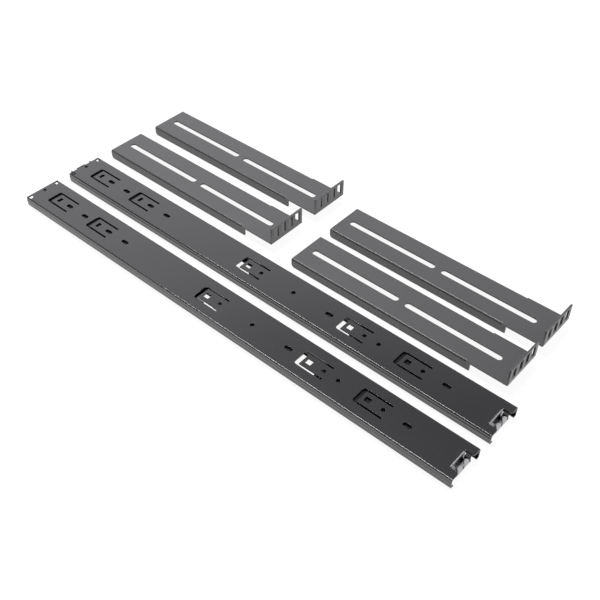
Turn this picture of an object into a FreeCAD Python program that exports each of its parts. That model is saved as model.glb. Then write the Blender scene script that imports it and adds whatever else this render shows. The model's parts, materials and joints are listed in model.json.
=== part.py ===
import FreeCAD, Part
import os
from math import cos, hypot, pi, sin, sqrt

# A kit of two three-section ball-bearing server slides and four rack brackets, laid out on a
# surface.  X runs along the slides, from the front end (the end they open towards) to the rear,
# Y across the kit and Z up.  All sizes are in millimetres.

VECTOR = FreeCAD.Vector
ALONG_X = VECTOR(1, 0, 0)
ALONG_Y = VECTOR(0, 1, 0)
ALONG_Z = VECTOR(0, 0, 1)
TINY = 1e-6

# ---- the slide as a whole ----
rail_length = 600.0
rail_width = 46.0
rail_thickness = 12.7
inner_proud = 0.3  # the inner web stands this far out of the mouth of the outer member
stage_travel = rail_length / 2  # middle out of outer, and again inner out of middle

# ---- small repeated forms are cut with flats instead of round walls ----
ball_sides = 8
small_post_sides = 12

# ---- sheet and running gaps ----
outer_sheet = 1.2
middle_sheet = 1.0
inner_sheet = 1.2
retainer_sheet = 0.6
retainer_gap = 0.35  # above and below a retainer that lies between two webs
lip_gap = 0.4  # between a lip and the member that runs past it
stop_gap = 0.3  # left between a retainer and its stop at full extension

# ---- balls and their races ----
outer_ball_radius = 2.0
inner_ball_radius = 1.6
race_clearance = 0.05
race_depth = 0.4  # how far a race is pressed out of the flat of its flange
outer_ball_z = 7.65
inner_ball_z = 4.95
pocket_clearance = 0.08
balls_in_group = 2
ball_pitch = 12.0
ball_end_margin = 8.0

# ---- outer member ----
outer_top_radius = 1.4
outer_lip_radius = 1.8
outer_lip_reach = 4.0

# ---- middle member ----
middle_front = 4.0  # set back from the front end of the outer member
middle_rear_setback = 14.0
middle_top_radius = 1.2
middle_tongue_reach = 3.0  # ahead of the rest of its front edge
middle_tongue_width = 12.0
window_half_width = 11.5
window_before_tab = 5.6
window_past_tab = 1.8

# ---- inner member ----
inner_rear_setback = 10.0
inner_flange_top = 8.0
inner_bend_radius = 1.4
inner_window_near_edge = -3.0
inner_window_far_edges = (9.5, 12.5)
inner_windows_before_tab = (4.6, 7.0)
inner_window_past_start = 19.0  # beyond the start of the tab above it
inner_relief_length = 6.4  # a narrow slot that runs on from the first window
inner_relief_width = 2.4
chassis_hole_radius = 2.2
chassis_hole_margin = 40.0
chassis_hole_pitch = 112.0
front_lug_width = 12.0
front_lug_top = 7.5
rear_lug_width = 6.0
rear_lug_top = 7.8

# ---- lanced tabs of the outer web ----
tab_length = 34.6
tab_width = 20.4
tab_cross_cut = 5.0
tab_side_cut = 2.3
tab_outer_radius = 3.2
tab_first_hole = 11.6
tab_second_hole = 29.6
front_tab_start = 22.6
front_tab_pitch = 69.4
middle_tab_from_rear = 332.4
rear_tab_from_rear = 192.4
rear_tab_pitch = 71.4
cross_slot_length = 7.0
cross_slot_width = 4.4
wide_hole_length = 6.6
wide_hole_width = 6.2

# ---- plain holes of the outer web, each placed from the start of the tab beside it ----
screw_hole_radius = 2.5
hole_past_middle_tab = 75.6
hole_past_rear_tab = 47.6
screw_slot_length = 9.8
screw_slot_width = 4.8
slot_past_tab = 57.0
slot_before_rear_tab = 15.6
pilot_hole_radius = 2.2
pilot_hole_from_front = 4.6

# ---- stop tabs bent out of the webs at the front ----
outer_stop_hole = 5.0
outer_stop_edge = 1.6
outer_stop_width = 2.0
outer_stop_drop = 2.5
middle_stop_hole = 3.0
middle_stop_edge = 1.6
middle_stop_width = 1.4
middle_stop_drop = 1.6

# ---- notch and spring clip at the rear end ----
notch_half_width = 12.0
notch_depth = 11.0
notch_corner_radius = 2.6
clip_sheet = 0.6
clip_half_width = 11.0
clip_foot = 13.0
clip_past_notch = 0.6
clip_fold = 2.4
clip_top_gap = 0.1
clip_floor = 3.0
clip_hook = 6.4
clip_hook_top = 9.0
clip_hook_radius = 2.6
clip_lobe_radius = 2.0
clip_slit = 2.0
bumper_width = 3.4
bumper_top = 11.6

# ---- ball retainers ----
bridge_length = 20.0
bridge_pitch = 160.0
retainer_ledge = 2.2
outer_retainer_drop = 6.0
inner_retainer_floor = 3.4
inner_retainer_ledge = 2.4
inner_ledge_lift = 0.3

# ---- release lever and the lug that it catches ----
catch_lug_from_front = 18.0
catch_lug_width = 3.6
catch_lug_drop = 2.6
catch_lug_hole = 3.5
lever_line = -8.5  # the pivot's place across the slide
lever_bite = 1.2  # how far the lug reaches across the catch
lever_catch_reach = 23.5
lever_catch_length = 3.6
lever_catch_width = 3.0
lever_catch_top = 8.2
lever_finger_reach = 36.0
lever_finger_length = 14.0
lever_finger_width = 5.5
lever_finger_top = 6.0
lever_arm_width = 3.0
lever_boss_width = 7.2
lever_floor_gap = 0.2
lever_thickness = 2.9
rivet_radius = 2.0
rivet_running_gap = 0.06
rivet_head_radius = 3.2
rivet_head_thickness = 0.8
rivet_head_gap = 0.2

# ---- rack bracket ----
bracket_sheet = 2.0
bracket_clearance = 0.3  # between a lip and the slide that it hugs
bracket_length = 274.0
bracket_depth = 11.3
bracket_lip_length = 231.0
bracket_lip_corner = 4.0
bracket_slot_width = 7.6
bracket_slot_length = 116.5
bracket_slot_margin = 9.8
bracket_slot_bridge = 9.0
bracket_slot_count = 2
ear_height = 20.0  # above the bracket's top face
ear_opening_count = 4
ear_opening_pitch = 11.6
ear_opening_width = 7.0
ear_opening_height = 13.5
ear_opening_lift = 4.6

# ---- layout on the surface ----
kit_width = 252.8
second_rail_y = 62.7
second_rail_middle_out = 2.5  # the second slide lies a little open
second_rail_inner_out = 5.5
bracket_starts = (0.2, -1.8, 303.9, 304.7)
front_bracket_gaps = (21.4, 21.5, 0.0)  # before, between and beyond the pair; they share the room left
rear_bracket_gaps = (17.1, 16.2, 9.6)

# ---- sizes that follow ----
half_width = rail_width / 2
outer_flange = half_width - race_depth
outer_race = outer_ball_radius + race_clearance
inner_race = inner_ball_radius + race_clearance
outer_ball_y = half_width - outer_sheet - outer_race
middle_flange = outer_ball_y - outer_race + race_depth
inner_ball_y = middle_flange - middle_sheet + race_depth - inner_race
inner_flange = inner_ball_y - inner_race + race_depth
outer_ceiling = rail_thickness - outer_sheet
outer_lip_top = inner_proud + outer_sheet
outer_mouth = half_width - race_depth - outer_lip_reach
middle_top = outer_ceiling - retainer_sheet - 2 * retainer_gap
middle_ceiling = middle_top - middle_sheet
middle_floor = outer_lip_top + lip_gap
middle_mouth = inner_flange + lip_gap
middle_rear = rail_length - middle_rear_setback
inner_rear = rail_length - inner_rear_setback
outer_stop_back = outer_stop_edge + outer_stop_hole + outer_sheet
middle_stop_back = middle_front + middle_stop_edge + middle_stop_hole + middle_sheet
front_tabs = (front_tab_start, front_tab_start + front_tab_pitch)
middle_tab = rail_length - middle_tab_from_rear
rear_tab = rail_length - rear_tab_from_rear
last_tab = rear_tab + rear_tab_pitch
rear_tabs = (middle_tab, rear_tab, last_tab)
window_tabs = (middle_tab, rear_tab)
front_slots = tuple(tab + slot_past_tab for tab in front_tabs)
rear_slots = (rear_tab - slot_before_rear_tab, last_tab + slot_past_tab)
screw_holes = (middle_tab + hole_past_middle_tab, rear_tab + hole_past_rear_tab)
catch_lug_back = middle_front + catch_lug_from_front + middle_sheet
lever_pivot_x = catch_lug_back + stop_gap + stage_travel - lever_catch_reach
bracket_width = rail_width + 2 * (bracket_clearance + bracket_sheet)
second_rail_far = second_rail_y + rail_width
bracket_room = kit_width - second_rail_far - 2 * bracket_width  # left for the gaps round each pair


# ---- outlines with rounded corners ----
def in_plan(a, b):
    return VECTOR(a, b, 0)


def in_section(a, b):
    return VECTOR(0, a, b)


def in_elevation(a, b):
    return VECTOR(a, 0, b)


def heading(start, end):
    """The direction from one corner to another."""
    reach = hypot(end[0] - start[0], end[1] - start[1])
    return (end[0] - start[0]) / reach, (end[1] - start[1]) / reach


def outline(corners, place):
    """A face inside corners (a, b, radius), with a tangent arc at each corner that has a radius."""
    stations = []
    for index, corner in enumerate(corners):
        back = heading(corner, corners[index - 1])
        ahead = heading(corner, corners[(index + 1) % len(corners)])
        cosine = back[0] * ahead[0] + back[1] * ahead[1]
        tangent = corner[2] * sqrt((1 + cosine) / (1 - cosine))
        depth = corner[2] * (sqrt(2 / (1 - cosine)) - 1)
        middle = heading((0, 0), (back[0] + ahead[0], back[1] + ahead[1])) if corner[2] else (0, 0)
        stations.append(
            [
                place(corner[0] + step[0] * reach, corner[1] + step[1] * reach)
                for step, reach in ((back, tangent), (middle, depth), (ahead, tangent))
            ]
        )
    edges = []
    for index, (start, middle, end) in enumerate(stations):
        before = stations[index - 1][2]
        if before.distanceToPoint(start) > TINY:
            edges.append(Part.LineSegment(before, start).toShape())
        if corners[index][2]:
            edges.append(Part.Arc(start, middle, end).toShape())
    return Part.Face(Part.Wire(edges))


def rectangle(a_low, a_high, b_low, b_high, low_radius=0.0, high_radius=0.0):
    """Corners of a rectangle, with one radius for its two lower corners and one for its upper."""
    return [
        (a_low, b_low, low_radius),
        (a_high, b_low, low_radius),
        (a_high, b_high, high_radius),
        (a_low, b_high, high_radius),
    ]


def bent_strip(path, thickness):
    """Corners of a strip of sheet whose right-hand face runs along the path's corners."""
    courses = [heading(start, end) for start, end in zip(path, path[1:])]
    other_side = []
    for (a, b, radius), came, goes in zip(path, courses[:1] + courses, courses + courses[-1:]):
        turn = came[0] * goes[1] - came[1] * goes[0]
        share = thickness / (1 + came[0] * goes[0] + came[1] * goes[1])
        inner_radius = radius and radius - thickness * (1 if turn > 0 else -1)
        other_side.append((a - (came[1] + goes[1]) * share, b + (came[0] + goes[0]) * share, inner_radius))
    return list(path) + other_side[::-1]


# ---- solids ----
def prism(corners, z_low, z_high):
    """A plan outline raised from one height to another."""
    face = outline(corners, in_plan)
    face.translate(ALONG_Z * z_low)
    return face.extrude(ALONG_Z * (z_high - z_low))


def run(face, x_low, x_high):
    """A cross-section drawn out along the slide."""
    solid = face.extrude(ALONG_X * (x_high - x_low))
    solid.translate(ALONG_X * x_low)
    return solid


def block(x_low, x_high, y_low, y_high, z_low, z_high):
    corner = VECTOR(x_low, y_low, z_low)
    return Part.makeBox(x_high - x_low, y_high - y_low, z_high - z_low, corner)


def post(x, y, radius, z_low, z_high):
    return Part.makeCylinder(radius, z_high - z_low, VECTOR(x, y, z_low), ALONG_Z)


def flat_sided_post(x, y, radius, z_low, z_high):
    """A small post with flats in place of its round wall."""
    turn = 2 * pi / small_post_sides
    angles = [number * turn for number in range(small_post_sides)]
    corners = [(x + radius * cos(angle), y + radius * sin(angle), 0) for angle in angles]
    return prism(corners, z_low, z_high)


def obround(x, y, length_x, length_y, z_low, z_high):
    """A slot with round ends, along whichever side is longer."""
    end_radius = min(length_x, length_y) / 2
    corners = rectangle(
        x - length_x / 2, x + length_x / 2, y - length_y / 2, y + length_y / 2, end_radius, end_radius
    )
    return prism(corners, z_low, z_high)


def disc(y, z, radius):
    circle = Part.Wire(Part.Circle(VECTOR(0, y, z), ALONG_X, radius).toShape())
    return Part.Face(circle)


def both_sides(shape):
    """The shape with its mirror image across the slide's centre plane."""
    return [shape, shape.mirror(VECTOR(0, 0, 0), ALONG_Y)]


def clean(shape):
    """One tidy solid, or a compound of them, with coplanar faces merged."""
    merged = shape.removeSplitter()
    return merged.Solids[0] if len(merged.Solids) == 1 else merged


def pressed_race(section, ball_y, ball_z, race_radius, sheet, flat_low, flat_high):
    """A section whose flange, between two flats, is pressed out round a ball on both sides."""
    bulge = disc(ball_y, ball_z, race_radius + sheet)
    reach = 2 * race_radius
    beyond = outline(rectangle(flat_low, flat_high, ball_z - reach, ball_z + reach), in_section)
    pushed = section.fuse(both_sides(bulge.common(beyond)))
    return pushed.cut(both_sides(disc(ball_y, ball_z, race_radius)))


# ---- outer member ----
def outer_section():
    corners = rectangle(
        -outer_flange, outer_flange, inner_proud, rail_thickness, outer_lip_radius, outer_top_radius
    )
    hollow_half = outer_flange - outer_sheet
    inside = outline(rectangle(-hollow_half, hollow_half, outer_lip_top, outer_ceiling), in_section)
    mouth = outline(rectangle(-outer_mouth, outer_mouth, 0, outer_lip_top + outer_sheet), in_section)
    channel = outline(corners, in_section).cut([inside, mouth])
    mid_flange = outer_flange - outer_sheet / 2
    return pressed_race(
        channel, outer_ball_y, outer_ball_z, outer_race, outer_sheet, mid_flange, half_width
    )


def tab_cut(start, z_low, z_high):
    """The U-shaped cut that frees a tab, open towards the rear."""
    around = [
        (start, -tab_width / 2, tab_outer_radius),
        (start + tab_length, -tab_width / 2, 0),
        (start + tab_length, tab_width / 2, 0),
        (start, tab_width / 2, tab_outer_radius),
    ]
    half_tongue = tab_width / 2 - tab_side_cut
    tongue_end = start + tab_length + tab_side_cut
    tongue = block(start + tab_cross_cut, tongue_end, -half_tongue, half_tongue, z_low, z_high)
    return prism(around, z_low, z_high).cut(tongue)


def hole_block(x, length, width, z_low, z_high):
    """A rectangular hole on the slide's centreline."""
    return block(x - length / 2, x + length / 2, -width / 2, width / 2, z_low, z_high)


def outer_web_cuts(z_low, z_high):
    cuts = [tab_cut(start, z_low, z_high) for start in front_tabs + rear_tabs]
    for start in front_tabs:
        cuts.append(hole_block(start + tab_first_hole, cross_slot_width, cross_slot_length, z_low, z_high))
    for start in rear_tabs:
        cuts.append(hole_block(start + tab_first_hole, wide_hole_length, wide_hole_width, z_low, z_high))
    tongue_slots = tuple(start + tab_second_hole for start in front_tabs)
    for x in tongue_slots + front_slots + rear_slots:
        cuts.append(obround(x, 0, screw_slot_length, screw_slot_width, z_low, z_high))
    for x in screw_holes:
        cuts.append(post(x, 0, screw_hole_radius, z_low, z_high))
    for start in rear_tabs:
        cuts.append(flat_sided_post(start + tab_second_hole, 0, screw_hole_radius, z_low, z_high))
    cuts.append(flat_sided_post(pilot_hole_from_front, 0, pilot_hole_radius, z_low, z_high))
    return cuts


def rear_notch(z_low, z_high):
    """The notch in the rear end of the outer web, flared at its mouth."""
    floor_x = rail_length - notch_depth
    past_end = rail_length + notch_depth
    beyond = notch_half_width + 2 * notch_corner_radius
    corners = [
        (floor_x, -notch_half_width, 0),
        (rail_length, -notch_half_width, notch_corner_radius),
        (rail_length, -beyond, 0),
        (past_end, -beyond, 0),
        (past_end, beyond, 0),
        (rail_length, beyond, 0),
        (rail_length, notch_half_width, notch_corner_radius),
        (floor_x, notch_half_width, 0),
    ]
    return prism(corners, z_low, z_high)


def stop_holes(x_low, size, y_centre, z_low, z_high):
    """The pair of corner holes that the stop tabs are bent out of."""
    return both_sides(block(x_low, x_low + size, y_centre - size / 2, y_centre + size / 2, z_low, z_high))


def stop_tabs(x_low, sheet, y_centre, width, drop, ceiling):
    """The pair of tabs that hang from the rear edges of the stop holes."""
    near = y_centre - width / 2
    tab = block(x_low, x_low + sheet, near, near + width, ceiling - drop, ceiling + sheet / 2)
    return both_sides(tab)


def outer_member():
    body = run(outer_section(), 0, rail_length)
    web_low = outer_ceiling - outer_sheet / 2
    web_high = rail_thickness + outer_sheet
    hole_y = outer_ball_y - outer_race / 2
    cuts = outer_web_cuts(web_low, web_high)
    cuts.append(rear_notch(web_low, web_high))
    cuts += stop_holes(outer_stop_edge, outer_stop_hole, hole_y, web_low, web_high)
    body = body.cut(cuts)
    stop_x = outer_stop_edge + outer_stop_hole
    tabs = stop_tabs(
        stop_x, outer_sheet, outer_ball_y, outer_stop_width, outer_stop_drop, outer_ceiling
    )
    return clean(body.fuse(tabs))


# ---- middle member ----
def middle_section():
    corners = rectangle(
        -middle_flange, middle_flange, middle_floor, middle_top, 0, middle_top_radius
    )
    hollow_half = middle_flange - middle_sheet
    inside = outline(
        rectangle(-hollow_half, hollow_half, middle_floor + middle_sheet, middle_ceiling), in_section
    )
    mouth = outline(
        rectangle(-middle_mouth, middle_mouth, 0, middle_floor + 2 * middle_sheet), in_section
    )
    channel = outline(corners, in_section).cut([inside, mouth])
    mid_flange = middle_flange - middle_sheet / 2
    innermost = hollow_half - race_depth
    raced = pressed_race(
        channel, outer_ball_y, outer_ball_z, outer_race, middle_sheet, innermost, mid_flange
    )
    outermost = middle_flange + race_depth
    return pressed_race(
        raced, inner_ball_y, inner_ball_z, inner_race, middle_sheet, mid_flange, outermost
    )


def middle_windows(z_low, z_high):
    cuts = []
    for start in window_tabs:
        x_low = start - window_before_tab
        x_high = start + tab_length + window_past_tab
        cuts.append(block(x_low, x_high, -window_half_width, window_half_width, z_low, z_high))
    return cuts


def catch_lug(x, y_low):
    """The lug, bent down out of the middle web, that the lever's catch stops against."""
    lug_low = middle_ceiling - catch_lug_drop
    lug_high = middle_ceiling + middle_sheet / 2
    return block(x, x + middle_sheet, y_low, y_low + catch_lug_width, lug_low, lug_high)


def middle_member():
    body = run(middle_section(), middle_front, middle_rear)
    half_tongue = middle_tongue_width / 2
    tongue_front = middle_front - middle_tongue_reach
    tongue = block(tongue_front, middle_front, -half_tongue, half_tongue, middle_ceiling, middle_top)
    web_low = middle_ceiling - middle_sheet / 2
    web_high = middle_top + middle_sheet / 2
    stop_edge = middle_front + middle_stop_edge
    lug_x = middle_front + catch_lug_from_front
    lug_near = lever_line - lever_catch_width / 2 + lever_bite - catch_lug_width
    cuts = middle_windows(web_low, web_high)
    cuts += stop_holes(stop_edge, middle_stop_hole, inner_ball_y, web_low, web_high)
    hole_start = lug_x - catch_lug_hole
    cuts.append(block(hole_start, lug_x, lug_near, lug_near + catch_lug_width, web_low, web_high))
    body = body.cut(cuts)
    stop_x = stop_edge + middle_stop_hole
    tabs = stop_tabs(
        stop_x, middle_sheet, inner_ball_y, middle_stop_width, middle_stop_drop, middle_ceiling
    )
    return clean(body.fuse(tabs + [tongue, catch_lug(lug_x, lug_near)]))


# ---- inner member ----
def inner_section():
    corners = rectangle(-inner_flange, inner_flange, 0, inner_flange_top, inner_bend_radius, 0)
    hollow_half = inner_flange - inner_sheet
    inside = outline(
        rectangle(-hollow_half, hollow_half, inner_sheet, inner_flange_top + inner_sheet), in_section
    )
    channel = outline(corners, in_section).cut(inside)
    innermost = hollow_half - race_depth
    mid_flange = hollow_half + inner_sheet / 2
    return pressed_race(
        channel, inner_ball_y, inner_ball_z, inner_race, inner_sheet, innermost, mid_flange
    )


def inner_web_cuts(z_low, z_high):
    cuts = []
    near = inner_window_near_edge
    for start, lead, far in zip(window_tabs, inner_windows_before_tab, inner_window_far_edges):
        cuts.append(block(start - lead, start + inner_window_past_start, near, far, z_low, z_high))
    relief_end = middle_tab + inner_window_past_start + inner_relief_length
    cuts.append(block(middle_tab, relief_end, near, near + inner_relief_width, z_low, z_high))
    for margin in (chassis_hole_margin, chassis_hole_margin + chassis_hole_pitch):
        for x in (margin, rail_length - margin):
            cuts.append(post(x, 0, chassis_hole_radius, z_low, z_high))
    cuts.append(post(lever_pivot_x, lever_line, rivet_radius, z_low, z_high))
    return cuts


def end_lug(x, width, top):
    """A lug bent up from the inner web, across an end of the member."""
    return block(x, x + inner_sheet, -width / 2, width / 2, 0, top)


def inner_member():
    body = run(inner_section(), 0, inner_rear)
    body = body.cut(inner_web_cuts(-inner_sheet, 2 * inner_sheet))
    front_lug = end_lug(0, front_lug_width, front_lug_top)
    rear_lug = end_lug(inner_rear - inner_sheet, rear_lug_width, rear_lug_top)
    return clean(body.fuse([front_lug, rear_lug]))


# ---- ball retainers and balls ----
def retainer_span(stop_back, rear_end):
    """Where a retainer lies with the slide shut: half a stage behind its place at full extension."""
    start = stop_back + stop_gap + stage_travel / 2
    end = rear_end - stage_travel / 2 - stop_gap
    return start, end


def ball_places(span):
    """Groups of balls at both ends of a retainer."""
    steps = [ball_end_margin + ball_pitch * number for number in range(balls_in_group)]
    return [span[0] + step for step in steps] + [span[1] - step for step in steps]


def ball_pockets(places, y, z, radius):
    """A square hole through the side of a retainer for each ball."""
    half = radius + pocket_clearance
    return [block(x - half, x + half, y - radius, y + radius, z - half, z + half) for x in places]


def ball(x, y, z, radius):
    """A ball with flats, whose corners reach its full radius when seen along X, Y or Z."""
    half_turn = pi / ball_sides
    flat = radius * cos(half_turn)
    chamfer = flat - radius * sin(half_turn)
    cube = block(x - flat, x + flat, y - flat, y + flat, z - flat, z + flat)
    return cube.makeChamfer(chamfer, cube.Edges)


def balls(places, y, z, radius):
    """Both rows of balls, as separate solids."""
    rows = []
    for x in places:
        rows += [ball(x, side * y, z, radius) for side in (-1, 1)]
    return Part.makeCompound(rows)


outer_span = retainer_span(outer_stop_back, middle_rear)
inner_span = retainer_span(middle_stop_back, middle_rear)


def outer_retainer():
    """A bridge-and-side channel of thin sheet with a pocket for each ball."""
    top = outer_ceiling - retainer_gap
    half = outer_ball_y + retainer_sheet / 2
    side_floor = top - outer_retainer_drop
    outside = outline(rectangle(-half, half, side_floor, top), in_section)
    hollow_half = half - retainer_sheet
    hollow = outline(
        rectangle(-hollow_half, hollow_half, side_floor - retainer_sheet, top - retainer_sheet), in_section
    )
    body = run(outside.cut(hollow), *outer_span)
    gap_half = hollow_half - retainer_ledge
    first_gap = outer_span[0] + bridge_length
    second_bridge = outer_span[0] + bridge_pitch
    gaps = [(first_gap, second_bridge), (second_bridge + bridge_length, outer_span[1] + bridge_length)]
    cuts = [block(low, high, -gap_half, gap_half, side_floor, top + retainer_gap) for low, high in gaps]
    for pocket in ball_pockets(ball_places(outer_span), outer_ball_y, outer_ball_z, outer_ball_radius):
        cuts += both_sides(pocket)
    return clean(body.cut(cuts))


def inner_retainer(side):
    """An angle strip between the middle and inner flanges, on one side of the slide."""
    side_face = inner_ball_y + retainer_sheet / 2
    ledge_low = inner_flange_top + inner_ledge_lift
    path = [
        (side_face, inner_retainer_floor, 0),
        (side_face, ledge_low + retainer_sheet, 0),
        (side_face - inner_retainer_ledge, ledge_low + retainer_sheet, 0),
    ]
    strip = run(outline(bent_strip(path, retainer_sheet), in_section), *inner_span)
    places = ball_places(inner_span)
    strip = clean(strip.cut(ball_pockets(places, inner_ball_y, inner_ball_z, inner_ball_radius)))
    return strip if side > 0 else strip.mirror(VECTOR(0, 0, 0), ALONG_Y)


# ---- spring clip and bumper at the rear end ----
def rear_clip():
    """A spring clip: foot welded under the web, crest in the notch, and a hook of two lobes."""
    leg_x = rail_length - notch_depth + clip_past_notch
    fold_x = leg_x + clip_fold
    hook_x = fold_x + clip_hook
    crest_z = rail_thickness - clip_top_gap - clip_sheet
    path = [
        (leg_x - clip_foot, outer_ceiling - clip_sheet, 0),
        (leg_x + clip_sheet, outer_ceiling - clip_sheet, 0),
        (leg_x + clip_sheet, crest_z, 0),
        (fold_x, crest_z, 0),
        (fold_x, clip_floor, clip_hook_radius),
        (hook_x, clip_floor, clip_hook_radius),
        (hook_x, clip_hook_top, 0),
    ]
    ribbon = outline(bent_strip(path, clip_sheet), in_elevation)
    ribbon.translate(-ALONG_Y * clip_half_width)
    strip = ribbon.extrude(ALONG_Y * 2 * clip_half_width)
    lobe_start = fold_x + clip_hook_radius
    waste = block(lobe_start, rail_length, -clip_half_width, clip_half_width, 0, rail_thickness)
    lobe = outline(
        rectangle(clip_slit / 2, clip_half_width, 0, clip_hook_top, 0, clip_lobe_radius), in_section
    )
    waste = waste.cut(both_sides(run(lobe, lobe_start, rail_length)))
    return clean(strip.cut(waste))


def rear_bumper():
    """A rubber block that fills the clip's hook on its far side."""
    hook_start = rail_length - notch_depth + clip_past_notch + clip_fold + clip_sheet
    hook_end = hook_start + clip_hook - 2 * clip_sheet
    corners = rectangle(
        hook_start, hook_end, clip_floor + clip_sheet, bumper_top, clip_hook_radius - clip_sheet, 0
    )
    face = outline(corners, in_elevation)
    face.translate(ALONG_Y * (clip_half_width - bumper_width))
    return face.extrude(ALONG_Y * bumper_width)


# ---- release lever ----
def release_lever():
    """A two-armed lever: a catch behind its pivot, a finger pad ahead of it."""
    floor = inner_sheet + lever_floor_gap
    arm_top = floor + lever_thickness
    catch_x = lever_pivot_x + lever_catch_reach
    pad_x = lever_pivot_x - lever_finger_reach
    arm_low = lever_line - lever_arm_width / 2
    arm_high = lever_line + lever_arm_width / 2
    catch_end = catch_x + lever_catch_length
    arm = block(pad_x, catch_end, arm_low, arm_high, floor, arm_top)
    catch_low = lever_line - lever_catch_width / 2
    catch = block(catch_x, catch_end, catch_low, catch_low + lever_catch_width, floor, lever_catch_top)
    pad_end = pad_x + lever_finger_length
    pad = block(pad_x, pad_end, arm_low, arm_low + lever_finger_width, floor, lever_finger_top)
    boss_reach = lever_boss_width / 2
    boss = block(
        lever_pivot_x - boss_reach,
        lever_pivot_x + boss_reach,
        lever_line - boss_reach,
        lever_line + boss_reach,
        floor,
        arm_top,
    )
    bore = post(lever_pivot_x, lever_line, rivet_radius + rivet_running_gap, floor, arm_top)
    return clean(arm.fuse([catch, pad, boss]).cut(bore))


def lever_rivet():
    """A shouldered rivet through the inner web, with its head above the lever."""
    head_low = inner_sheet + lever_floor_gap + lever_thickness + rivet_head_gap
    shank = post(lever_pivot_x, lever_line, rivet_radius, 0, head_low)
    head_top = head_low + rivet_head_thickness
    head = flat_sided_post(lever_pivot_x, lever_line, rivet_head_radius, head_low, head_top)
    return clean(shank.fuse(head))


# ---- rack bracket ----
def bracket_channel():
    """A plate with two lips that hug the sides of a slide."""
    half = bracket_width / 2
    outside = outline(rectangle(-half, half, 0, bracket_depth, 0, bracket_sheet), in_section)
    hollow_half = half - bracket_sheet
    ceiling = bracket_depth - bracket_sheet
    hollow = outline(rectangle(-hollow_half, hollow_half, -bracket_sheet, ceiling), in_section)
    channel = run(outside.cut(hollow), 0, bracket_lip_length)
    side = outline(
        [
            (0, 0, bracket_lip_corner),
            (bracket_lip_length, 0, 0),
            (bracket_lip_length, bracket_depth, 0),
            (0, bracket_depth, 0),
        ],
        in_elevation,
    )
    side.translate(-ALONG_Y * half)
    return channel.common(side.extrude(ALONG_Y * bracket_width))


def ear_openings():
    cuts = []
    first = -(ear_opening_count - 1) * ear_opening_pitch / 2
    low = bracket_depth + ear_opening_lift
    for number in range(ear_opening_count):
        y = first + number * ear_opening_pitch
        cuts.append(
            block(
                bracket_length - 2 * bracket_sheet,
                bracket_length + bracket_sheet,
                y - ear_opening_width / 2,
                y + ear_opening_width / 2,
                low,
                low + ear_opening_height,
            )
        )
    return cuts


def plate_slots():
    """The row of long slots down the middle of the plate."""
    low = bracket_depth - 2 * bracket_sheet
    high = bracket_depth + bracket_sheet
    first = bracket_slot_margin + bracket_slot_length / 2
    pitch = bracket_slot_length + bracket_slot_bridge
    centres = [first + number * pitch for number in range(bracket_slot_count)]
    return [obround(x, 0, bracket_slot_length, bracket_slot_width, low, high) for x in centres]


def rack_bracket():
    half = bracket_width / 2
    path = [
        (bracket_lip_length - bracket_lip_corner, bracket_depth - bracket_sheet, 0),
        (bracket_length, bracket_depth - bracket_sheet, bracket_sheet),
        (bracket_length, bracket_depth + ear_height, 0),
    ]
    bent_up = outline(bent_strip(path, bracket_sheet), in_elevation)
    bent_up.translate(-ALONG_Y * half)
    body = bracket_channel().fuse(bent_up.extrude(ALONG_Y * bracket_width))
    bracket = clean(body.cut(ear_openings() + plate_slots()))
    bracket.translate(ALONG_Y * half)
    return bracket


# ---- layout and export ----
def slide_pieces():
    """Every piece of one slide, shut, and how it shares in the two stages' travel."""
    outer_places = ball_places(outer_span)
    inner_places = ball_places(inner_span)
    return {
        "outer_member": (outer_member(), 0, 0),
        "rear_clip": (rear_clip(), 0, 0),
        "rear_bumper": (rear_bumper(), 0, 0),
        "outer_retainer": (outer_retainer(), 1 / 2, 0),
        "outer_balls": (balls(outer_places, outer_ball_y, outer_ball_z, outer_ball_radius), 1 / 2, 0),
        "middle_member": (middle_member(), 1, 0),
        "inner_retainer_near": (inner_retainer(-1), 1, 1 / 2),
        "inner_retainer_far": (inner_retainer(1), 1, 1 / 2),
        "inner_balls": (balls(inner_places, inner_ball_y, inner_ball_z, inner_ball_radius), 1, 1 / 2),
        "inner_member": (inner_member(), 1, 1),
        "lever_rivet": (lever_rivet(), 1, 1),
        "release_lever": (release_lever(), 1, 1),
    }


def pair_rows(gaps):
    """The near sides of a pair's far and near bracket, with the room left shared out like the gaps."""
    share = bracket_room / sum(gaps)
    near_row = second_rail_far + gaps[0] * share
    far_row = near_row + bracket_width + gaps[1] * share
    return far_row, near_row


def laid_out():
    """Every piece in its place in the kit, by name."""
    nodes = {}
    slides = (("a", 0, 0, 0), ("b", second_rail_y, second_rail_middle_out, second_rail_inner_out))
    for name, (shape, middle_share, inner_share) in slide_pieces().items():
        for letter, near_y, middle_out, inner_out in slides:
            piece = shape.copy()
            drawn = middle_share * middle_out + inner_share * inner_out
            piece.translate(VECTOR(-drawn, near_y + half_width, 0))
            nodes["slide_" + letter + "_" + name] = piece
    bracket = rack_bracket()
    rows = pair_rows(front_bracket_gaps) + pair_rows(rear_bracket_gaps)
    for number, (x, y) in enumerate(zip(bracket_starts, rows), 1):
        piece = bracket.copy()
        piece.translate(VECTOR(x, y, 0))
        nodes["bracket_" + str(number)] = piece
    return nodes


def main():
    """Put the origin under the middle of the whole kit and write one STEP file for each piece."""
    os.makedirs("parts", exist_ok=True)
    nodes = laid_out()
    box = Part.makeCompound(list(nodes.values())).BoundBox
    shift = VECTOR(-(box.XMin + box.XMax) / 2, -(box.YMin + box.YMax) / 2, -box.ZMin)
    for name, shape in nodes.items():
        shape.translate(shift)
        shape.exportStep("parts/" + name + ".step")


main()
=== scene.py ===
import json
import math

import bmesh
import bpy
from mathutils import Matrix, Vector

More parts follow.
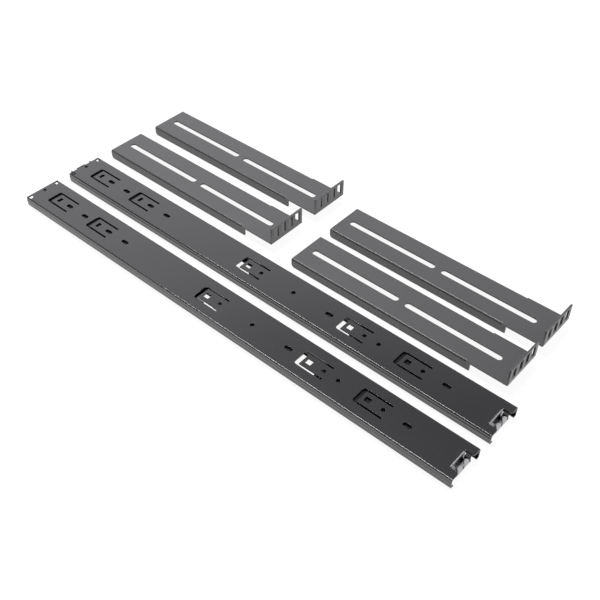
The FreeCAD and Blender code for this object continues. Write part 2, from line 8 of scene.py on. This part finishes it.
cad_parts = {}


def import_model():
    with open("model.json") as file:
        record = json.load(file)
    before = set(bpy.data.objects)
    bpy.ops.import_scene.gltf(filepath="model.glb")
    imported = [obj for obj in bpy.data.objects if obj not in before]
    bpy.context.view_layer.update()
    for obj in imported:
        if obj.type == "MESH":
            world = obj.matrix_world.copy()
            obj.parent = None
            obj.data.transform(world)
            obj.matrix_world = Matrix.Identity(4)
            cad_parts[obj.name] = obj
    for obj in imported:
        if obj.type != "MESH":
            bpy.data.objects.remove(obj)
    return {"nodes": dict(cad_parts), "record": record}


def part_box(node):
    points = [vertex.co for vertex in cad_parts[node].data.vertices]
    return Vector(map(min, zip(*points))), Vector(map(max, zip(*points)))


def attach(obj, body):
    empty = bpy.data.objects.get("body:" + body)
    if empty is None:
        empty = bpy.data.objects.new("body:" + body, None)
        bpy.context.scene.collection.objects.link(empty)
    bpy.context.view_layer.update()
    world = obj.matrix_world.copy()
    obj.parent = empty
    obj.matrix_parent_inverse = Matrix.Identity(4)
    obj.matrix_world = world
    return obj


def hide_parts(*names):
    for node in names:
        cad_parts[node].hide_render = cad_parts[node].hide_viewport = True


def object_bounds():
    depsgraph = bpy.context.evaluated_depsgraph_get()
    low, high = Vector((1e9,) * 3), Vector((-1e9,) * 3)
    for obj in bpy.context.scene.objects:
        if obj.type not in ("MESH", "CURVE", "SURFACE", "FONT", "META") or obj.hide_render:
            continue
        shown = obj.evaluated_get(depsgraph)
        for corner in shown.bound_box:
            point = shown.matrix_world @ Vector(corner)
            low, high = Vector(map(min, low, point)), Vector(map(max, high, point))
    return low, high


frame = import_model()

# Two ball-bearing server slides and four rack brackets on a white studio floor.
# Everything is in metres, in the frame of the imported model.

CAD_LOW, CAD_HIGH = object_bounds()
MILLIMETRE = 0.001

# ---- camera ----
CAMERA_PLACE = (0.49275, -0.54348, 0.65162)
CAMERA_TILT = (45.966, -0.227, 41.179)  # degrees
CAMERA_LENS = 53.22
CAMERA_SENSOR = 36.0

# ---- floor and light ----
FLOOR_SIZE = 14.0
FLOOR_GAP = 0.1 * MILLIMETRE
FLOOR_COLOUR = (0.80, 0.80, 0.80, 1)
SHOWN_FLOOR_COLOUR = (0.15, 0.15, 0.15, 1)  # what the camera and the reflections see, with the glow
SHOWN_FLOOR_GLOW = 0.92
WHITE = (1, 1, 1, 1)
ROOM_STRENGTH = 1.2
ROOM_TINT = (0.99, 0.985, 1.03)
ROOM_LEVELS = (  # height of the direction looked along, level
    (0.0, 0.95), (0.58, 0.95), (0.65, 0.80), (0.70, 0.56), (0.72, 0.22), (0.76, 0.15), (1.0, 0.12),
)
ROOM_NEAR_LEVEL = 0.3  # how bright the side towards the camera is against the far side
ROOM_TURN = 0.25  # how far either side of overhead the change is spread
SOFTBOX_PLACE = (-0.75, 0.35, 2.0)
SOFTBOX_SIZE = (1.5, 0.4)
SOFTBOX_WATTS = 41.0

# ---- balls ----
BALL_PITCH = 12.0 * MILLIMETRE
BALLS_IN_GROUP = 2
BALL_ROUNDNESS = 3  # subdivisions of the icosahedron that each ball starts from

# ---- coats and colours ----
# Edges get a lighter colour, partly the coat worn thin and partly a painted highlight along the edges.
EDGE_WEAR_AND_HIGHLIGHT_WIDTH = 0.25 * MILLIMETRE
EDGE_ROUNDING = 0.2 * MILLIMETRE
EDGE_SAMPLES = 4
EDGE_MATCH = (0.80, 0.995)  # how well the normals agree on an edge, and on a face
COAT_CLOUD_SCALE = 28.0
COAT_GRAIN_SCALE = 2600.0
COAT_SPECK_SCALE = 900.0
COAT_SHADES = (0.86, 1.14)  # darkest and lightest clouds, as shares of the colour
COAT_SHINE_SHARES = (0.8, 1.2)  # smoothest and roughest specks, as shares of the roughness
COAT_GRAIN_DEPTH = 0.02 * MILLIMETRE
STEEL_CLOUD_SCALE = 120.0
STEEL_DARK_SHADE = 0.8  # darkest clouds, as a share of the colour
STEEL_SHINE_SHARES = (0.7, 1.3)
DRAWN_LINE_STRETCH = (40.0, 3000.0, 3000.0)  # coarse along the slide, fine across it
DRAWN_LINE_DEPTH = 0.01 * MILLIMETRE
MOULD_SHINE_SPREAD = 0.06  # either side of the roughness
MOULD_GRAIN_STRENGTH = 0.5
MOULD_GRAIN_DEPTH = 0.02 * MILLIMETRE
SLIDE_COAT = (0.020, 0.020, 0.022)
# The lighter edge colours below are partly wear and partly a painted highlight.
SLIDE_COAT_WORN_AND_HIGHLIGHT = (0.16, 0.16, 0.165)
# Painted shade: the middle member's coat is darker than the outer one's, so it reads black through the
# slots.
MIDDLE_COAT_DARKENED_AS_SHADE = (0.014, 0.014, 0.015)
MIDDLE_COAT_WORN_AND_HIGHLIGHT = (0.10, 0.10, 0.10)
INNER_COAT = (0.014, 0.014, 0.015)
BRACKET_COAT = (0.064, 0.063, 0.065)
BRACKET_COAT_WORN_AND_HIGHLIGHT = (0.34, 0.34, 0.35)
BUMPER_COLOUR = (0.010, 0.010, 0.010)
LEVER_COLOUR = (0.020, 0.020, 0.021)
ZINC_COLOUR = (0.56, 0.57, 0.60)
BALL_COLOUR = (0.72, 0.72, 0.74)
SPRING_COLOUR = (0.46, 0.46, 0.47)
RIVET_COLOUR = (0.60, 0.60, 0.62)

# ---- spring clip ----
CLIP_SHEET = 0.6 * MILLIMETRE
CLIP_FOOT = 13.0 * MILLIMETRE  # length of the foot, up to the leg
CLIP_FOOT_DROP = 1.1 * MILLIMETRE  # from the crest down to the foot, which lies under the web
CLIP_CREST = 1.6 * MILLIMETRE  # width over the fold
CLIP_LOBE_DROP = 0.3 * MILLIMETRE  # from the crest down to the tips of the lobes
CLIP_HOOK_RADIUS = 2.0 * MILLIMETRE  # along the middle of the sheet
CLIP_SLIT = 2.0 * MILLIMETRE  # between the lobes
CLIP_LOBE_RADIUS = 4.0 * MILLIMETRE  # of the rounded tip
CLIP_LOBE_CURL = 3.6 * MILLIMETRE  # radius of the bend that leans each lobe in
CLIP_LOBE_LEAN = 80  # degrees that each lobe turns in from upright
CLIP_STRAP = 3.0 * MILLIMETRE  # width of the side strap
CLIP_BEND_STEPS = 10  # flats in each bend
CLIP_EDGE = CLIP_SHEET / 6  # width of the softened edges
CLIP_EDGE_STEPS = 2


def new_material(name):
    """An empty node material with its output; returns the material, its tree and the output."""
    material = bpy.data.materials.new(name)
    material.use_nodes = True
    tree = material.node_tree
    tree.nodes.clear()
    output = tree.nodes.new("ShaderNodeOutputMaterial")
    return material, tree, output


def add(tree, kind, **inputs):
    """A node with some of its input sockets set; a name's underscores stand for spaces."""
    node = tree.nodes.new(kind)
    for key, value in inputs.items():
        node.inputs[key.replace("_", " ")].default_value = value
    return node


def noise(tree, place, scale, detail=3.0, roughness=0.55):
    """Cloudy noise from 0 to 1; a larger scale makes it finer."""
    node = add(tree, "ShaderNodeTexNoise", Scale=scale, Detail=detail, Roughness=roughness)
    tree.links.new(place, node.inputs["Vector"])
    return node.outputs["Fac"]


def remap(tree, value, low, high, from_low=0.0, from_high=1.0):
    """A value taken from one range to another."""
    node = add(tree, "ShaderNodeMapRange", From_Min=from_low, From_Max=from_high)
    node.inputs["To Min"].default_value = low
    node.inputs["To Max"].default_value = high
    tree.links.new(value, node.inputs["Value"])
    return node.outputs["Result"]


def blend_colours(tree, factor, first, second):
    """A mix of two colours, each of which may be a fixed colour or another node's output."""
    node = tree.nodes.new("ShaderNodeMix")
    node.data_type = "RGBA"
    tree.links.new(factor, node.inputs["Factor"])
    for socket, colour in ((node.inputs[6], first), (node.inputs[7], second)):
        if isinstance(colour, bpy.types.NodeSocket):
            tree.links.new(colour, socket)
        else:
            socket.default_value = colour
    return node.outputs[2]


def rounded_edges(tree, radius):
    """The surface's normal, as if its edges were rounded."""
    node = add(tree, "ShaderNodeBevel", Radius=radius)
    node.samples = EDGE_SAMPLES
    return node.outputs["Normal"]


def edge_mask(tree, radius):
    """1 along the edges of the sheet, where rounding turns the normal, and 0 on its faces."""
    flat = tree.nodes.new("ShaderNodeNewGeometry")
    match = tree.nodes.new("ShaderNodeVectorMath")
    match.operation = "DOT_PRODUCT"
    tree.links.new(rounded_edges(tree, radius), match.inputs[0])
    tree.links.new(flat.outputs["Normal"], match.inputs[1])
    return remap(tree, match.outputs["Value"], 1.0, 0.0, *EDGE_MATCH)


def coated_steel(name, colour, worn_and_highlight, roughness, ior, grain):
    """Satin electrocoat on sheet steel: fine grain, faint clouding, and a lighter colour along the
    edges that is partly the coat worn thin and partly a painted highlight.
    """
    material, tree, output = new_material(name)
    place = tree.nodes.new("ShaderNodeTexCoord").outputs["Object"]
    clouds = noise(tree, place, COAT_CLOUD_SCALE)
    fine = noise(tree, place, COAT_GRAIN_SCALE, detail=2.0)
    speck = noise(tree, place, COAT_SPECK_SCALE, detail=4.0, roughness=0.7)
    dark, light = (tuple(channel * shade for channel in colour) for shade in COAT_SHADES)
    body = blend_colours(tree, clouds, (*dark, 1), (*light, 1))
    edges = edge_mask(tree, EDGE_WEAR_AND_HIGHLIGHT_WIDTH)
    # Lighter colour along the edges: coat worn thin, and a painted highlight.
    surface = blend_colours(tree, edges, body, (*worn_and_highlight, 1))
    shader = add(tree, "ShaderNodeBsdfPrincipled", IOR=ior)
    tree.links.new(surface, shader.inputs["Base Color"])
    smoothest, roughest = (roughness * share for share in COAT_SHINE_SHARES)
    tree.links.new(remap(tree, speck, smoothest, roughest), shader.inputs["Roughness"])
    bump = add(tree, "ShaderNodeBump", Strength=grain, Distance=COAT_GRAIN_DEPTH)
    tree.links.new(fine, bump.inputs["Height"])
    tree.links.new(rounded_edges(tree, EDGE_ROUNDING), bump.inputs["Normal"])
    tree.links.new(bump.outputs["Normal"], shader.inputs["Normal"])
    tree.links.new(shader.outputs["BSDF"], output.inputs["Surface"])
    return material


def bare_steel(name, colour, roughness, streak):
    """Plated or polished steel with fine drawing lines along the slide."""
    material, tree, output = new_material(name)
    place = tree.nodes.new("ShaderNodeTexCoord").outputs["Object"]
    stretch = add(tree, "ShaderNodeMapping", Scale=DRAWN_LINE_STRETCH)
    tree.links.new(place, stretch.inputs["Vector"])
    lines = noise(tree, stretch.outputs["Vector"], scale=1.0)
    clouds = noise(tree, place, STEEL_CLOUD_SCALE)
    dark = tuple(channel * STEEL_DARK_SHADE for channel in colour)
    shader = add(tree, "ShaderNodeBsdfPrincipled", Metallic=1.0)
    tree.links.new(blend_colours(tree, clouds, (*dark, 1), (*colour, 1)), shader.inputs["Base Color"])
    smoothest, roughest = (roughness * share for share in STEEL_SHINE_SHARES)
    tree.links.new(remap(tree, lines, smoothest, roughest), shader.inputs["Roughness"])
    bump = add(tree, "ShaderNodeBump", Strength=streak, Distance=DRAWN_LINE_DEPTH)
    tree.links.new(lines, bump.inputs["Height"])
    tree.links.new(bump.outputs["Normal"], shader.inputs["Normal"])
    tree.links.new(shader.outputs["BSDF"], output.inputs["Surface"])
    return material


def moulded(name, colour, roughness, grain_size):
    """Rubber or plastic with a fine moulded grain."""
    material, tree, output = new_material(name)
    place = tree.nodes.new("ShaderNodeTexCoord").outputs["Object"]
    grain = noise(tree, place, 1 / grain_size, detail=2.0)
    shader = add(tree, "ShaderNodeBsdfPrincipled", Base_Color=(*colour, 1))
    shine = remap(tree, grain, roughness - MOULD_SHINE_SPREAD, roughness + MOULD_SHINE_SPREAD)
    tree.links.new(shine, shader.inputs["Roughness"])
    bump = add(tree, "ShaderNodeBump", Strength=MOULD_GRAIN_STRENGTH, Distance=MOULD_GRAIN_DEPTH)
    tree.links.new(grain, bump.inputs["Height"])
    tree.links.new(bump.outputs["Normal"], shader.inputs["Normal"])
    tree.links.new(shader.outputs["BSDF"], output.inputs["Surface"])
    return material


def dress():
    """Give every node of the model the finish of its material slot."""
    finishes = {
        "coated_steel": coated_steel(
            "slide coat", SLIDE_COAT, SLIDE_COAT_WORN_AND_HIGHLIGHT, roughness=0.18, ior=1.85, grain=0.12
        ),
        # Painted shade: a darker colour and a low IOR keep the middle member black where it shows
        # through the slots.
        "coated_steel_middle": coated_steel(
            "middle coat darkened as painted shade", MIDDLE_COAT_DARKENED_AS_SHADE, MIDDLE_COAT_WORN_AND_HIGHLIGHT, roughness=0.55, ior=1.2, grain=0.12
        ),
        "coated_steel_inner": coated_steel(
            "inner coat", INNER_COAT, SLIDE_COAT_WORN_AND_HIGHLIGHT, roughness=0.30, ior=1.5, grain=0.12
        ),
        "bracket_steel": coated_steel(
            "bracket coat", BRACKET_COAT, BRACKET_COAT_WORN_AND_HIGHLIGHT, roughness=0.34, ior=1.66, grain=0.2
        ),
        "plated_steel": bare_steel("zinc plate", ZINC_COLOUR, roughness=0.34, streak=0.3),
        "ball_steel": bare_steel("ball steel", BALL_COLOUR, roughness=0.12, streak=0.0),
        "spring_steel": bare_steel("spring strip", SPRING_COLOUR, roughness=0.36, streak=0.3),
        "rivet_steel": bare_steel("rivet steel", RIVET_COLOUR, roughness=0.30, streak=0.2),
        "bumper_rubber": moulded(
            "rubber", BUMPER_COLOUR, roughness=0.62, grain_size=0.4 * MILLIMETRE
        ),
        "lever_plastic": moulded(
            "lever plastic", LEVER_COLOUR, roughness=0.45, grain_size=0.3 * MILLIMETRE
        ),
    }
    for part in frame["record"]["subparts"]:
        thing = frame["nodes"][part["node"]]
        thing.data.materials.clear()
        thing.data.materials.append(finishes[part["material_slot"]])


def any_of(tree, rays, *kinds):
    """1 for a light ray of any of these kinds."""
    total = rays.outputs[kinds[0]]
    for kind in kinds[1:]:
        both = tree.nodes.new("ShaderNodeMath")
        both.operation = "MAXIMUM"
        tree.links.new(total, both.inputs[0])
        tree.links.new(rays.outputs[kind], both.inputs[1])
        total = both.outputs[0]
    return total


def floor():
    """A white floor that keeps the object's shadow."""
    bpy.ops.mesh.primitive_plane_add(size=FLOOR_SIZE, location=(0, 0, CAD_LOW.z - FLOOR_GAP))
    plane = bpy.context.object
    plane.name = "floor"
    material, tree, output = new_material("floor white")
    rays = tree.nodes.new("ShaderNodeLightPath")
    shown = add(tree, "ShaderNodeBsdfDiffuse", Color=SHOWN_FLOOR_COLOUR)
    lit = add(tree, "ShaderNodeBsdfDiffuse", Color=FLOOR_COLOUR)
    glow = add(tree, "ShaderNodeEmission", Color=WHITE, Strength=SHOWN_FLOOR_GLOW)
    lifted = tree.nodes.new("ShaderNodeAddShader")
    tree.links.new(shown.outputs[0], lifted.inputs[0])
    tree.links.new(glow.outputs[0], lifted.inputs[1])
    choice = tree.nodes.new("ShaderNodeMixShader")
    seen = any_of(tree, rays, "Is Camera Ray", "Is Glossy Ray", "Is Transmission Ray")
    tree.links.new(seen, choice.inputs[0])
    tree.links.new(lit.outputs[0], choice.inputs[1])
    tree.links.new(lifted.outputs[0], choice.inputs[2])
    tree.links.new(choice.outputs[0], output.inputs["Surface"])
    plane.data.materials.append(material)


def world():
    """A soft white room: brighter low down and on its far side than overhead and behind the camera."""
    room = bpy.data.worlds.new("room")
    bpy.context.scene.world = room
    room.use_nodes = True
    tree = room.node_tree
    tree.nodes.clear()
    output = tree.nodes.new("ShaderNodeOutputWorld")
    direction = tree.nodes.new("ShaderNodeTexCoord").outputs["Generated"]
    split = tree.nodes.new("ShaderNodeSeparateXYZ")
    tree.links.new(direction, split.inputs["Vector"])
    ramp = tree.nodes.new("ShaderNodeValToRGB")
    points = ramp.color_ramp.elements
    while len(points) < len(ROOM_LEVELS):
        points.new(1.0)
    for point, (height, level) in zip(points, ROOM_LEVELS):
        point.position = height
        point.color = (*(level * tint for tint in ROOM_TINT), 1)
    tree.links.new(split.outputs["Z"], ramp.inputs["Fac"])
    room_light = tree.nodes.new("ShaderNodeBackground")
    tree.links.new(ramp.outputs["Color"], room_light.inputs["Color"])
    near = ROOM_NEAR_LEVEL * ROOM_STRENGTH
    sides = remap(tree, split.outputs["Y"], near, ROOM_STRENGTH, -ROOM_TURN, ROOM_TURN)
    tree.links.new(sides, room_light.inputs["Strength"])
    tree.links.new(room_light.outputs[0], output.inputs["Surface"])


def overhead_softbox():
    data = bpy.data.lights.new("overhead softbox", "AREA")
    data.shape = "RECTANGLE"
    data.size, data.size_y = SOFTBOX_SIZE
    data.energy = SOFTBOX_WATTS
    lamp = bpy.data.objects.new("overhead softbox", data)
    lamp.location = SOFTBOX_PLACE
    bpy.context.scene.collection.objects.link(lamp)


def camera():
    """The camera that the reference photograph was taken with, as near as it can be worked out."""
    data = bpy.data.cameras.new("camera")
    data.lens = CAMERA_LENS
    data.sensor_width = CAMERA_SENSOR
    eye = bpy.data.objects.new("camera", data)
    eye.location = CAMERA_PLACE
    eye.rotation_euler = tuple(math.radians(angle) for angle in CAMERA_TILT)
    bpy.context.scene.collection.objects.link(eye)
    bpy.context.scene.camera = eye


def new_piece(name, shape, node):
    """A piece made from a bmesh, with the material of the node that it stands for."""
    data = bpy.data.meshes.new(name)
    shape.to_mesh(data)
    shape.free()
    data.materials.append(frame["nodes"][node].data.materials[0])
    piece = bpy.data.objects.new(name, data)
    bpy.context.scene.collection.objects.link(piece)
    return piece


def ball_places(low, high):
    """Both rows of balls, in a group at each end of their box, and the balls' radius."""
    radius = (high.z - low.z) / 2
    steps = [radius + BALL_PITCH * number for number in range(BALLS_IN_GROUP)]
    along = [low.x + step for step in steps] + [high.x - step for step in steps]
    across = (low.y + radius, high.y - radius)
    return [Vector((x, y, low.z + radius)) for x in along for y in across], radius


def round_balls(slide, race):
    """Smooth steel balls in place of the flat-sided ones of one cage."""
    node = slide + "_" + race + "_balls"
    places, radius = ball_places(*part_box(node))
    shape = bmesh.new()
    for place in places:
        bmesh.ops.create_icosphere(
            shape, subdivisions=BALL_ROUNDNESS, radius=radius, matrix=Matrix.Translation(place)
        )
    for face in shape.faces:
        face.smooth = True
    piece = new_piece(node + "_round", shape, node)
    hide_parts(node)
    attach(piece, slide + "_" + race + "_cage")


def bend(centre, radius, start, end):
    """Points (x, z) round a bend, between two angles in degrees."""
    turns = [start + (end - start) * step / CLIP_BEND_STEPS for step in range(CLIP_BEND_STEPS + 1)]
    angles = [math.radians(turn) for turn in turns]
    return [(centre[0] + radius * math.cos(a), centre[1] + radius * math.sin(a)) for a in angles]


def clip_strip(low, high):
    """The middle line (x, z) of the clip's full-width strip: foot, leg, round crest and hook."""
    half = CLIP_SHEET / 2
    leg = low.x + CLIP_FOOT + half
    foot = high.z - CLIP_FOOT_DROP - half
    crest_radius = CLIP_CREST / 2 - half
    fall = leg + 2 * crest_radius
    wall = high.x - half
    hook_height = low.z + half + CLIP_HOOK_RADIUS
    points = [(low.x, foot)]
    points += bend((leg - CLIP_SHEET, foot + CLIP_SHEET), CLIP_SHEET, -90, 0)
    points += bend((leg + crest_radius, high.z - half - crest_radius), crest_radius, 180, 0)
    points += bend((fall + CLIP_HOOK_RADIUS, hook_height), CLIP_HOOK_RADIUS, 180, 270)
    points += bend((wall - CLIP_HOOK_RADIUS, hook_height), CLIP_HOOK_RADIUS, 270, 360)
    return points


def lobe_rows(wall, near, far, tip):
    """Rows of a lobe that leans in over the hook while its sides draw together to a rounded tip."""
    rows = []
    curl = bend((wall - CLIP_LOBE_CURL, tip - CLIP_LOBE_CURL), CLIP_LOBE_CURL, 0, CLIP_LOBE_LEAN)
    sides = bend((0, 0), CLIP_LOBE_RADIUS, 0, CLIP_LOBE_LEAN)
    for (x, z), (reach, _) in zip(curl, sides):
        inset = CLIP_LOBE_RADIUS - reach
        rows.append(((x, near + inset, z), (x, far - inset, z)))
    return rows


def add_ribbon(shape, rows):
    """Quads along a ribbon whose rows are pairs of corners."""
    corners = [[shape.verts.new(corner) for corner in row] for row in rows]
    for (a, b), (c, d) in zip(corners, corners[1:]):
        shape.faces.new((a, b, d, c)).smooth = True


def clip_shape(low, high, lobes_end):
    """The clip without its thickness: the strip, both lobes and the strap along its near side."""
    shape = bmesh.new()
    strip = clip_strip(low, high)
    wall, foot_of_lobe = strip[-1]
    tip = high.z - CLIP_LOBE_DROP
    middle = (low.y + lobes_end) / 2
    add_ribbon(shape, [((x, low.y, z), (x, high.y, z)) for x, z in strip])
    for near, far in ((low.y, middle - CLIP_SLIT / 2), (middle + CLIP_SLIT / 2, lobes_end)):
        base = ((wall, near, foot_of_lobe), (wall, far, foot_of_lobe))
        add_ribbon(shape, [base] + lobe_rows(wall, near, far, tip))
    crest = (low.x + CLIP_FOOT + CLIP_CREST, high.z - CLIP_CREST / 2)
    lobe_side = (wall, tip - CLIP_LOBE_CURL)
    add_ribbon(shape, [((x, low.y, z), (x, low.y + CLIP_STRAP, z)) for x, z in (crest, lobe_side)])
    return shape


def spring_clip(slide):
    """A bent spring clip whose far lobe stops short of the bumper."""
    node = slide + "_rear_clip"
    low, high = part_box(node)
    bumper_low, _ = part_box(slide + "_rear_bumper")
    shape = clip_shape(low, high, bumper_low.y)
    piece = new_piece(node + "_bent", shape, node)
    thickness = piece.modifiers.new("sheet", "SOLIDIFY")
    thickness.thickness = CLIP_SHEET
    thickness.offset = 0.0
    softened = piece.modifiers.new("edges", "BEVEL")
    softened.width = CLIP_EDGE
    softened.segments = CLIP_EDGE_STEPS
    softened.harden_normals = True
    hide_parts(node)
    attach(piece, slide + "_outer")


bpy.context.scene.view_settings.view_transform = "Standard"
dress()
for slide in ("slide_a", "slide_b"):
    for race in ("outer", "inner"):
        round_balls(slide, race)
    spring_clip(slide)
floor()
world()
overhead_softbox()
camera()
